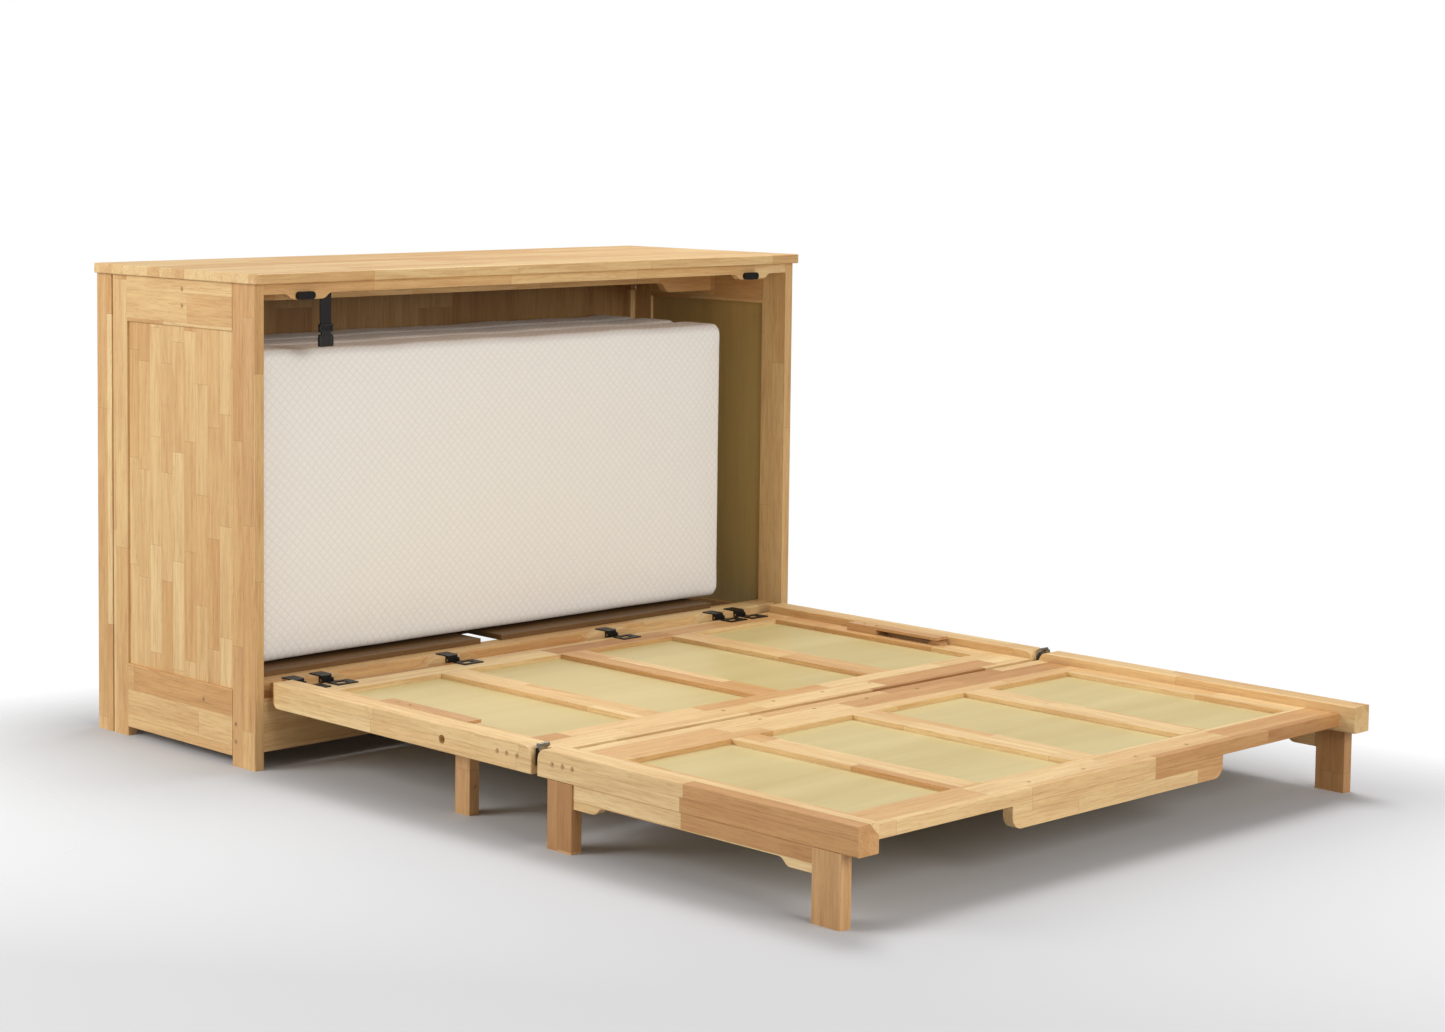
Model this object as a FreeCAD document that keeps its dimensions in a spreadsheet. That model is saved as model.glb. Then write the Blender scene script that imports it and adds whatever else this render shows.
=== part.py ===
"""Cabinet bed: a wooden cabinet with a two-section folding bed deck, drawn opened out.

Lengths are millimetres.  +X is the viewer's right when facing the cabinet, +Z is up, and the
bed opens toward -Y.  Every y in this file is measured from the front faces of the cabinet's
posts; each finished piece is then moved by bed_shift, so the origin lies on the floor under
the middle of the whole object.
"""

import FreeCAD, Part

import math
import os
import re

doc = FreeCAD.newDocument("CabinetBed")
sheet = doc.addObject("Spreadsheet::Sheet", "Dims")

CABINET_SIZES = {
    "half_width": 830,          # side frames, outside faces
    "frame_thick": 25,
    "frame_high": 1033,
    "frame_deep": 588,
    "post_wide": 80,
    "stile_front": 470,
    "stile_back": 526,
    "groove_wide": 4,           # shadow gap between rear stile and back post
    "back_post_wide": 40,
    "top_thick": 22,
    "top_front": 16,
    "top_back": 4,
    "top_side": 10,
    "top_corner": 14,
    "rail_low": 20,
    "rail_high": 164,
    "upper_rail_low": 930,
    "panel_thick": 12,
    "panel_recess": 6,
    "back_thick": 12,
    "back_front": 560,
    "back_low": 100,
    "plank_count": 12,
    "back_rail_high": 60,
    "ease": 2.5,                # rounding of long edges
}

BASE_SIZES = {
    "kick_front": 6,
    "kick_thick": 22,
    "kick_low": 36,
    "hinge_rail_low": 150,
    "hinge_rail_high": 184,
    "hinge_rail_front": -3.4,
    "hinge_rail_split": 24,
    "hinge_rail_back": 80,
    "hinge_rail_left": -770,
    "hinge_rail_right": 690,
    "hinge_rail_step": -739,    # left of this, the rail is lower to pass behind the bed's side
    "step_deep": 3.5,
    "scoop_deep": 21,
    "scoop_ogee": 60,
    "deck_board_thick": 12,
    "deck_board_left": -790,
    "deck_gap_left": -136,      # the gap between the two boards
    "deck_gap_right": -72,
    "deck_board_right": 620,
    "deck_board_front": 66,
    "board_ease": 1.2,
    "deck_board_back": 548,
    "ledger_thick": 12,
    "bearer_wide": 40,
}

APRON_SIZES = {
    "apron_front": 2,
    "apron_thick": 18,
    "apron_low": 1010,
    "lug_low": 997,
    "lug_inner": 650,
    "lug_outer": 722,
    "lug_ogee": 30,
    "catch_wide": 47,
    "catch_high": 17,
    "catch_deep": 10,
    "beam_front": 258,
    "beam_thick": 20,
    "beam_low": 978,
    "beam_end_low": 954,
    "beam_end_long": 145,
    "beam_ogee": 40,
    "batten_wide": 20,
    "batten_low": 993,
    "stay_x": 580,
    "stay_low": 962,
    "strap_left": -636,
    "strap_wide": 30,
    "strap_front": 21,
    "strap_thick": 2,
    "buckle_low": 891,
    "buckle_high": 940,
    "buckle_wide": 40,
    "buckle_thick": 9,
}

MATTRESS_SIZES = {
    "mattress_left": -745,
    "mattress_right": 705,
    "mattress_front": 102,
    "mattress_thick": 149,
    "mattress_high": 696,
    "mattress_round": 18,
}

BED_SIZES = {
    "side_inner": 742,
    "side_outer": 795,
    "side_low": 134,
    "side_high": 189,
    "deck_low": 144,
    "deck_high": 171,
    "panel_low": 154,
    "panel_high": 161,
    "stile_inner": 679,
    "muntin_wide": 76,
    "muntin_pitch": 358,
    "inner_start": -17,
    "inner_bar_start": -98,
    "inner_bar_end": -707,
    "inner_end": -826,
    "outer_start": -843,
    "outer_bar_start": -972,
    "outer_bar_end": -1522,
    "outer_face": -1610,
    "outer_end": -1647,
    "fold_corner": 22,
    "heel_corner": 15,
    "leg_thick": 27,
    "leg_ease": 1.5,
    "leg_wide": 68,
    "leg_setback": 29,
    "leg_apron_thick": 20,
    "leg_apron_inset": 4,
    "leg_apron_low": 87,
    "leg_apron_mid": 102,
    "leg_apron_flat": 52,
    "leg_apron_ogee": 30,
    "pull_half": 330,
    "pull_low": 100,
    "pull_thick": 22,
    "pull_corner": 26,
}

HARDWARE_SIZES = {
    "hinge_y": -10,
    "hinge_z": 176,
    "hinge_pin": 3,
    "hinge_bore": 3.05,
    "knuckle": 4.5,
    "leaf_half": 16.5,
    "leaf_thick": 2.5,
    "leaf_back": 30,
    "leaf_split": 10,
    "plate_start": 8,
    "plate_long": 56,
    "plate_wide": 38,
    "plate_gap": 12,
    "fold_y": -834.5,
    "fold_z": 190,
    "fold_pin": 2.5,
    "fold_bore": 2.55,
    "fold_inner": 757,
    "fold_outer": 785,
    "fold_plate_low": 150,
    "fold_plate_high": 184,
    "pivot_y": -565,
    "pivot_z": 159,
    "pivot_pin": 4,
    "pivot_bore": 4.05,
    "pivot_head": 8,
    "swing_inner": 714.5,
    "swing_outer": 740.5,
    "swing_half": 22,
    "slot_inner": 713,
    "slot_near": -398,
    "slot_far": -592,
    "guard_inner": 704,
    "guard_start": -306,
    "guard_block_end": -396,
    "guard_end": -580,
    "guard_strip_low": 182.5,
    "knob_z": 57,
    "knob_deep": 3.5,
    "knob_radius": 5,
    "head_radius": 4.5,
    "head_thick": 3.4,
    "hole_radius": 5,
    "hole_deep": 4,
}

SIZES = {}
for group in (CABINET_SIZES, BASE_SIZES, APRON_SIZES, MATTRESS_SIZES, BED_SIZES, HARDWARE_SIZES):
    SIZES.update(group)
# The whole object runs from the bed's foot to the back of the cabinet's top.
SIZES["bed_shift"] = -(SIZES["outer_end"] + SIZES["frame_deep"] + SIZES["top_back"]) / 2

for row, (alias, value) in enumerate(SIZES.items(), start=1):
    sheet.set(f"A{row}", alias)
    sheet.set(f"B{row}", str(value))
    sheet.setAlias(f"B{row}", alias)
doc.recompute()

AXES = {"x": FreeCAD.Vector(1, 0, 0), "y": FreeCAD.Vector(0, 1, 0), "z": FreeCAD.Vector(0, 0, 1)}
ALONG = {
    "x": FreeCAD.Rotation(AXES["y"], 90),
    "y": FreeCAD.Rotation(AXES["x"], -90),
    "z": FreeCAD.Rotation(),
}
SIDES = (("left", -1), ("right", 1))
PIECES = []


def size(alias):
    """A driving dimension's value, for outlines and counts."""
    return float(SIZES[alias])


def bind(text):
    """Turn a formula in aliases into one that reads them from the sheet."""
    return re.sub(r"[a-z][a-z_]+", lambda word: f"Dims.{word.group(0)}", str(text))


def place(thing, x, y, z):
    """Bind an object's position."""
    for letter, text in (("x", x), ("y", y), ("z", z)):
        thing.setExpression(f"Placement.Base.{letter}", bind(text))


def block(x, y, z):
    """A rectangular solid between (low, high) formulas along each axis."""
    thing = doc.addObject("Part::Box", "Block")
    for field, (low, high) in (("Length", x), ("Width", y), ("Height", z)):
        thing.setExpression(field, bind(f"({high}) - ({low})"))
    place(thing, x[0], y[0], z[0])
    return thing


def rod(radius, length, x, y, z, axis):
    """A cylinder that starts at x, y, z and runs along +axis."""
    thing = doc.addObject("Part::Cylinder", "Rod")
    thing.setExpression("Radius", bind(radius))
    thing.setExpression("Height", bind(length))
    thing.Placement = FreeCAD.Placement(FreeCAD.Vector(), ALONG[axis])
    place(thing, x, y, z)
    return thing


def mirrored(sign, low, high):
    """An x range on the left (-1) or right (+1) side."""
    if sign > 0:
        return (low, high)
    return (f"-({high})", f"-({low})")


def signed(sign, value):
    """A value on the left or right side."""
    return str(value) if sign > 0 else f"-({value})"


def joined(things):
    """Fuse overlapping solids into one."""
    fused = doc.addObject("Part::MultiFuse", "Joined")
    fused.Shapes = things
    fused.Refine = True
    return fused


def bundle(things):
    """Keep separate solids together."""
    group = doc.addObject("Part::Compound", "Bundle")
    group.Links = things
    return group


def cut(base, tools):
    """Take solids away from a base."""
    result = doc.addObject("Part::Cut", "Cut")
    result.Base = base
    result.Tool = bundle(tools) if len(tools) > 1 else tools[0]
    return result


def rounded(base, radius, choose):
    """Round the edges of a base that choose(edge) accepts."""
    doc.recompute()
    result = doc.addObject("Part::Fillet", "Rounded")
    result.Base = base
    numbers = [i for i, edge in enumerate(base.Shape.Edges, start=1) if choose(edge)]
    result.Edges = [(i, radius, radius) for i in numbers]
    return result


def parallel_to(letters):
    """A test for straight edges along any of the named axes."""
    def test(edge):
        if edge.Curve.TypeId != "Part::GeomLine":
            return False
        way = edge.tangentAt(edge.FirstParameter)
        return any(abs(way.dot(AXES[letter])) > 0.999 for letter in letters)
    return test


def at_corner(along, **limits):
    """A test for edges along an axis whose middle lies at the given coordinates."""
    straight = parallel_to(along)

    def test(edge):
        middle = edge.CenterOfMass
        return straight(edge) and all(abs(getattr(middle, k) - v) < 0.01 for k, v in limits.items())
    return test


def board(x, y, z, along, radius="ease"):
    """A planed board with its long edges eased."""
    return rounded(block(x, y, z), size(radius), parallel_to(along))


def ogee(start, end):
    """Two tangent arcs from start to end, level at both ends; points are (u, v)."""
    half_u = (end[0] - start[0]) / 2
    half_v = (end[1] - start[1]) / 2
    radius = (half_u ** 2 + half_v ** 2) / (2 * abs(half_v))
    turn = math.asin(abs(half_u) / radius) / 2
    along = math.copysign(radius * math.sin(turn), half_u)
    across = math.copysign(radius * (1 - math.cos(turn)), half_v)
    middle = (start[0] + half_u, start[1] + half_v)
    arcs = []
    for a, b, shoulder in (
        (start, middle, (start[0] + along, start[1] + across)),
        (middle, end, (end[0] - along, end[1] - across)),
    ):
        points = [FreeCAD.Vector(p[0], p[1], 0) for p in (a, shoulder, b)]
        arcs.append(Part.Arc(*points))
    return arcs


def sawn(outline, across, low, high, rounds=()):
    """A board sawn to an outline.

    outline is a list of (u, v, kind): kind is how the line arrives, "line" or "ogee".
    across "y" draws u along x and v along z; across "x" draws u along y and v along z.
    """
    sketch = doc.addObject("Sketcher::SketchObject", "Outline")
    previous = outline[-1]
    for corner in outline:
        if corner[2] == "ogee":
            curves = ogee(previous[:2], corner[:2])
        else:
            ends = [FreeCAD.Vector(p[0], p[1], 0) for p in (previous, corner)]
            curves = [Part.LineSegment(*ends)]
        for curve in curves:
            sketch.addGeometry(curve)
        previous = corner
    turn = FreeCAD.Rotation(AXES["x"], 90)
    if across == "x":
        turn = FreeCAD.Rotation(FreeCAD.Vector(1, 1, 1), 120)
    sketch.Placement = FreeCAD.Placement(FreeCAD.Vector(), turn)
    sketch.setExpression(f"Placement.Base.{across}", bind(low))
    slab = doc.addObject("Part::Extrusion", "Sawn")
    slab.Base = sketch
    slab.DirMode = "Custom"
    slab.Dir = AXES[across]
    slab.setExpression("LengthFwd", bind(f"({high}) - ({low})"))
    slab.Solid = True
    return slab


def piece(label, things):
    """Finish one named sub-part."""
    finished = doc.addObject("Part::Compound", label)
    finished.Label = label
    finished.Links = things if isinstance(things, list) else [things]
    finished.setExpression("Placement.Base.y", bind("bed_shift"))
    PIECES.append(finished)


def shifted(spot, axis, amount):
    """A position moved along one axis."""
    moved = dict(zip("xyz", spot))
    moved[axis] = f"({moved[axis]}) + ({amount})"
    return moved["x"], moved["y"], moved["z"]


def screw_holes(spots, axis, way):
    """Counterbores for screws whose heads face along +axis (way 1) or -axis (way -1)."""
    amount = "-hole_deep" if way > 0 else "-1"
    return [rod("hole_radius", "hole_deep + 1", *shifted(spot, axis, amount), axis)
            for spot in spots]


def screw_heads(spots, axis, way):
    """Screw heads that sit on the floors of those counterbores."""
    amount = "-hole_deep" if way > 0 else "hole_deep - head_thick"
    return [rod("head_radius", "head_thick", *shifted(spot, axis, amount), axis)
            for spot in spots]


def panels_between(bars, y, z):
    """Thin panels that fill the spaces between neighbouring bars, given as x ranges."""
    return [block((near[1], far[0]), y, z) for near, far in zip(bars, bars[1:])]


def every_edge(edge):
    """A test that accepts every edge."""
    return edge is not None


# ---------------------------------------------------------------- cabinet sides, back and top

POST_SCREWS = (91, 53)              # heights of the screws that hold the kick board
UPPER_SCREWS = (1011, 975)          # heights of the screws through the upper side rail
UPPER_SCREW_Y = 260
LOWER_SCREW = (183, 127)            # y and z of the screw through the lower side rail
POST_SCREW_Y = 66


def cabinet_side(name, sign):
    """One frame-and-panel side with its back post; returns its screw heads."""
    across = mirrored(sign, "half_width - frame_thick", "half_width")
    face = signed(sign, "half_width")
    post_spots = [(face, POST_SCREW_Y, height) for height in POST_SCREWS]
    upper_spots = [(face, UPPER_SCREW_Y, height) for height in UPPER_SCREWS]
    lower_spots = [(face, *LOWER_SCREW)]
    post = board(across, ("0", "post_wide"), ("0", "frame_high"), "z")
    piece(f"{name}_front_post", cut(post, screw_holes(post_spots, "x", sign)))
    stile = board(across, ("stile_front", "stile_back"), ("0", "frame_high"), "z")
    tongue = block(mirrored(sign, "half_width - frame_thick", "half_width - 8"),
                   ("stile_back - 3", "stile_back + groove_wide"), ("0", "frame_high"))
    piece(f"{name}_rear_stile", joined([stile, tongue]))
    upper = board(across, ("post_wide", "stile_front"), ("upper_rail_low", "frame_high"), "y")
    lower = board(across, ("post_wide", "stile_front"), ("rail_low", "rail_high"), "y")
    piece(f"{name}_side_rails", [cut(upper, screw_holes(upper_spots, "x", sign)),
                                 cut(lower, screw_holes(lower_spots, "x", sign))])
    piece(f"{name}_side_panel", block(
        mirrored(sign, "half_width - panel_recess - panel_thick", "half_width - panel_recess"),
        ("post_wide", "stile_front"), ("rail_high", "upper_rail_low")))
    piece(f"{name}_back_post", board(
        mirrored(sign, "half_width - back_post_wide", "half_width"),
        ("stile_back + groove_wide", "frame_deep"), ("0", "frame_high"), "z"))
    return screw_heads(post_spots + upper_spots + lower_spots, "x", sign)


def cabinet_back():
    """Vertical planks between the back posts, with a rail behind them at each end."""
    planks = []
    half = "(half_width - back_post_wide)"
    for i in range(int(size("plank_count"))):
        low = f"-{half} + 2 * {half} * {i} / plank_count"
        high = f"-{half} + 2 * {half} * {i + 1} / plank_count"
        planks.append(rounded(block((low, high), ("back_front", "back_front + back_thick"),
                                    ("back_low", "frame_high")), 1, parallel_to("z")))
    piece("back_planks", planks)
    across = (f"-{half}", half)
    depth = ("back_front + back_thick", "frame_deep")
    piece("back_rails", [
        block(across, depth, ("back_low", "back_low + back_rail_high")),
        block(across, depth, ("frame_high - back_rail_high", "frame_high")),
    ])


def cabinet_top():
    """The top board, with round corners and eased edges."""
    slab = block(("-half_width - top_side", "half_width + top_side"),
                 ("-top_front", "frame_deep + top_back"), ("frame_high", "frame_high + top_thick"))
    corners = rounded(slab, size("top_corner"), parallel_to("z"))
    piece("top_board", rounded(corners, size("ease"), parallel_to("x")))


def apron_outline(low, deep_low, ogees):
    """A hanging rail's outline; ogees lists each (x from, x to) on the right half."""
    inside = size("half_width") - size("frame_thick")
    top = size("frame_high")
    right = [(inside, top, "line")]
    levels = [low, deep_low]
    depth = 0
    steps = []
    for near, far in ogees:
        steps.append((near, levels[depth], levels[1 - depth], far))
        depth = 1 - depth
    right.append((inside, levels[depth], "line"))
    for near, near_level, far_level, far in reversed(steps):
        right.append((far, far_level, "line"))
        right.append((near, near_level, "ogee"))
    left = []
    for near, near_level, far_level, far in steps:
        left.append((-near, near_level, "line"))
        left.append((-far, far_level, "ogee"))
    left.append((-inside, levels[depth], "line"))
    left.append((-inside, top, "line"))
    return right + left


def aprons():
    """Two shaped rails under the top board, and battens along its ends."""
    lug_in = size("lug_inner")
    lug_out = size("lug_outer")
    sweep = size("lug_ogee")
    front = apron_outline(size("apron_low"), size("lug_low"),
                          [(lug_in - sweep, lug_in), (lug_out, lug_out + sweep)])
    piece("front_apron", sawn(front, "y", "apron_front", "apron_front + apron_thick"))
    deep_from = size("half_width") - size("frame_thick") - size("beam_end_long")
    middle = apron_outline(size("beam_low"), size("beam_end_low"),
                           [(deep_from - size("beam_ogee"), deep_from)])
    piece("rear_apron", sawn(middle, "y", "beam_front", "beam_front + beam_thick"))
    battens = []
    for _, sign in SIDES:
        across = mirrored(sign, "half_width - frame_thick - batten_wide",
                          "half_width - frame_thick")
        height = ("batten_low", "frame_high")
        battens.append(block(across, ("post_wide + 20", "beam_front"), height))
        battens.append(block(across, ("beam_front + beam_thick", "stile_back"), height))
    piece("top_battens", battens)


CATCHES = (-721, 652)       # left edges of the two catches


def top_fittings():
    """Closing catches on the apron's lugs, a stay pin, and the strap that holds the mattress."""
    catches = []
    for left in CATCHES:
        plate = block((str(left), f"{left} + catch_wide"),
                      ("apron_front - catch_deep", "apron_front"),
                      ("lug_low", "lug_low + catch_high"))
        catches.append(rounded(plate, size("catch_high") / 2 - 0.2, parallel_to("y")))
    piece("catches", catches)
    flange = rod(8, 3, "stay_x", "beam_front + beam_thick + 22", "frame_high - 3", "z")
    pin = rod(1.6, "frame_high - stay_low - 2", "stay_x", "beam_front + beam_thick + 22",
              "stay_low", "z")
    piece("stay_pin", joined([flange, pin]))
    middle = "strap_left + strap_wide / 2"
    piece("strap_webbing", block(("strap_left", "strap_left + strap_wide"),
                                 ("strap_front + 3.5", "strap_front + 3.5 + strap_thick"),
                                 ("buckle_high", "frame_high")))
    body = block((f"{middle} - buckle_wide / 2", f"{middle} + buckle_wide / 2"),
                 ("strap_front", "strap_front + buckle_thick"), ("buckle_low", "buckle_high"))
    piece("strap_buckle", rounded(body, 2, every_edge))


# ---------------------------------------------------------------- cabinet base and mattress

RAIL_SCREWS = (-682, -254, 240, 608)    # screws through the top of the hinge rail


JOISTS = (-740, -193, 130, 563)         # left edges of the joists under the boards


def hinge_rail_outline():
    """The front strip's outline: level pads under the hinges with scoops between them."""
    low = size("hinge_rail_low")
    high = size("hinge_rail_high")
    floor = high - size("scoop_deep")
    sweep = size("scoop_ogee")
    right_end = size("hinge_rail_right")
    left_end = size("hinge_rail_left")
    step = size("hinge_rail_step")
    outline = [(right_end, low, "line"), (right_end, high, "line")]
    for right, left in ((540, 258), (176, -236), (-318, -614)):
        outline.append((right, high, "line"))
        outline.append((right - sweep, floor, "ogee"))
        outline.append((left + sweep, floor, "line"))
        outline.append((left, high, "ogee"))
    outline.append((step, high, "line"))
    outline.append((step, high - size("step_deep"), "line"))
    outline.append((left_end, high - size("step_deep"), "line"))
    outline.append((left_end, low, "line"))
    return outline


def cabinet_base():
    """Kick board, hinge rail and the boards that the folded mattress stands on."""
    inside = "(half_width - frame_thick)"
    across = (f"-{inside}", inside)
    piece("kick_board", board(across, ("kick_front", "kick_front + kick_thick"),
                              ("kick_low", "hinge_rail_low"), "x"))
    front = sawn(hinge_rail_outline(), "y", "hinge_rail_front", "hinge_rail_split")
    rear = block(across, ("hinge_rail_split", "hinge_rail_back"),
                 ("hinge_rail_low", "hinge_rail_high"))
    spots = [(x, 12, "hinge_rail_high") for x in RAIL_SCREWS]
    piece("hinge_rail", cut(joined([front, rear]), screw_holes(spots, "z", 1)))
    thick = ("hinge_rail_high", "hinge_rail_high + deck_board_thick")
    for name, ends in (("left", ("deck_board_left", "deck_gap_left")),
                       ("right", ("deck_gap_right", "deck_board_right"))):
        piece(f"{name}_deck_board", board(
            ends, ("deck_board_front", "deck_board_back"), thick, "x", "board_ease"))
    joists = []
    for start in JOISTS:
        joists.append(block((str(start), f"{start} + bearer_wide"),
                            ("hinge_rail_back", "deck_board_back - ledger_thick"),
                            ("hinge_rail_low", "hinge_rail_high")))
    piece("deck_joists", joists)
    wide = "(half_width - back_post_wide)"
    piece("deck_ledger", block((f"-{wide}", wide), ("deck_board_back - ledger_thick", "back_front"),
                               ("back_low", "hinge_rail_high")))
    return screw_heads(spots, "z", 1)


def mattress():
    """The mattress folded in three upright layers."""
    bottom = "hinge_rail_high + deck_board_thick"
    for i, name in enumerate(("front", "middle", "back")):
        start = f"mattress_front + {i} * (mattress_thick + 1)"
        layer = block(("mattress_left", "mattress_right"), (start, f"{start} + mattress_thick"),
                      (bottom, f"{bottom} + mattress_high"))
        piece(f"mattress_{name}", rounded(layer, size("mattress_round"), every_edge))


# ---------------------------------------------------------------- hinges

HINGE_CENTRES = (-720, -645, -286, 208, 571, 645)


def bed_hinges():
    """Leaves screwed over the hinge rail, their pins, and the plates on the bed's frame."""
    leaves = []
    pins = []
    plates = []
    for centre in HINGE_CENTRES:
        left = f"{centre} - leaf_half"
        right = f"{centre} + leaf_half"
        split = f"{centre} + leaf_split"
        front = ("hinge_rail_front - leaf_thick", "hinge_rail_front")
        high = "hinge_rail_high + leaf_thick"
        flat = block((left, right), (front[0], "leaf_back"), ("hinge_rail_high", high))
        lip = block((left, right), front, ("hinge_z + knuckle + 0.5", high))
        fold = block((left, split), ("hinge_y - knuckle", "hinge_rail_front"),
                     ("hinge_z - knuckle", high))
        fold = rounded(fold, 1.6, at_corner(
            "x", y=size("hinge_y") - size("knuckle"),
            z=size("hinge_rail_high") + size("leaf_thick")))
        barrel = rod("knuckle", "leaf_half + leaf_split", left, "hinge_y", "hinge_z", "x")
        whole = joined([flat, lip, fold, barrel])
        shaft = rod("hinge_pin", "2 * leaf_half", left, "hinge_y", "hinge_z", "x")
        leaves.append(cut(whole, [shaft]))
        pins.append(rod("hinge_pin", "2 * leaf_half", left, "hinge_y", "hinge_z", "x"))

        start = f"{split} + 0.3"
        thick = ("deck_high", "deck_high + leaf_thick")
        edge = "hinge_y - plate_gap"
        near = f"{centre} - plate_start"
        plate = block((near, f"{near} + plate_long"), (f"{edge} - plate_wide", edge), thick)
        tongue = block((start, right), (f"{edge} - 1", "hinge_y - 3"), thick)
        moving = rod("knuckle", "leaf_half - leaf_split - 0.3", start, "hinge_y", "hinge_z", "x")
        solid = joined([plate, tongue, moving])
        window = block((f"{near} + 9", f"{near} + 38"), (f"{edge} - 28", f"{edge} - 9"),
                       ("deck_high - 1", "deck_high + leaf_thick + 1"))
        bore = rod("hinge_bore", "2 * leaf_half", split, "hinge_y", "hinge_z", "x")
        plates.append(cut(solid, [window, bore]))
    piece("hinge_leaves", leaves)
    piece("hinge_pins", pins)
    piece("hinge_plates", plates)


def fold_hinges():
    """A barrel hinge at each side rail, on the line where the two sections meet."""
    arms = []
    plates = []
    height = ("fold_plate_low", "fold_plate_high")
    middle = "(fold_inner + fold_outer) / 2"
    for _, sign in SIDES:
        whole = mirrored(sign, "fold_inner", "fold_outer")
        near = mirrored(sign, "fold_inner", middle)
        far = mirrored(sign, f"{middle} + 0.3", "fold_outer")
        reach = "(fold_outer - fold_inner) / 2"
        inner_plate = block(whole, ("inner_end - leaf_thick", "inner_end"), height)
        inner_tab = block(near, ("fold_y + 3", "inner_end"), ("fold_plate_high - 3", "fold_z"))
        inner_barrel = rod("knuckle", reach, near[0], "fold_y", "fold_z", "x")
        pin = rod("fold_pin", "fold_outer - fold_inner", whole[0], "fold_y", "fold_z", "x")
        arms.append(joined([inner_plate, inner_tab, inner_barrel, pin]))
        outer_plate = block(whole, ("outer_start", "outer_start + leaf_thick"), height)
        outer_tab = block(far, ("outer_start", "fold_y - 3"), ("fold_plate_high - 3", "fold_z"))
        outer_barrel = rod("knuckle", f"{reach} - 0.3", far[0], "fold_y", "fold_z", "x")
        bore = rod("fold_bore", "fold_outer - fold_inner + 2",
                   f"{whole[0]} - 1", "fold_y", "fold_z", "x")
        plates.append(cut(joined([outer_plate, outer_tab, outer_barrel]), [bore]))
    piece("fold_hinge_arms", arms)
    piece("fold_hinge_plates", plates)


# ---------------------------------------------------------------- bed sections

MUNTINS = (-1, 0, 1)


def deck_bars(y):
    """Stiles and muntins across a section, as x ranges from left to right."""
    bars = [("-side_inner", "-stile_inner")]
    for number in MUNTINS:
        middle = f"{number} * muntin_pitch"
        bars.append((f"{middle} - muntin_wide / 2", f"{middle} + muntin_wide / 2"))
    bars.append(("stile_inner", "side_inner"))
    return bars, [block(bar, y, ("deck_low", "deck_high")) for bar in bars]


def row_of_screws(start, pitch, y):
    """Four screws in a row across a deck rail."""
    return [(start + i * pitch, y, "deck_high") for i in range(4)]


def side_spots(sign, ys):
    """Screws through a side rail into the deck rail beside it."""
    return [(signed(sign, "side_outer"), y, "deck_high - 7") for y in ys]


def side_rail(sign, y, fold_y, heel_y, ys):
    """One side rail: its fold end is rounded on top, and its screws are counterbored."""
    blank = block(mirrored(sign, "side_inner", "side_outer"), y, ("side_low", "side_high"))
    top = rounded(blank, size("fold_corner"), at_corner("x", y=size(fold_y), z=size("side_high")))
    if heel_y:
        top = rounded(top, size("heel_corner"),
                      at_corner("x", y=size(heel_y), z=size("side_low")))
    eased = rounded(top, size("ease"), parallel_to("y"))
    return cut(eased, screw_holes(side_spots(sign, ys), "x", sign))


INNER_SIDE_YS = (-730, -757, -787)
OUTER_SIDE_YS = (-886, -914, -941)
INNER_FOLD_SCREWS = (-209, 152, -771)
OUTER_FOLD_SCREWS = (-214, 164, -878)
OUTER_FRONT_SCREWS = (-244, 165, -1578)
GUARD_SCREWS = (-345, -382)


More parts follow.
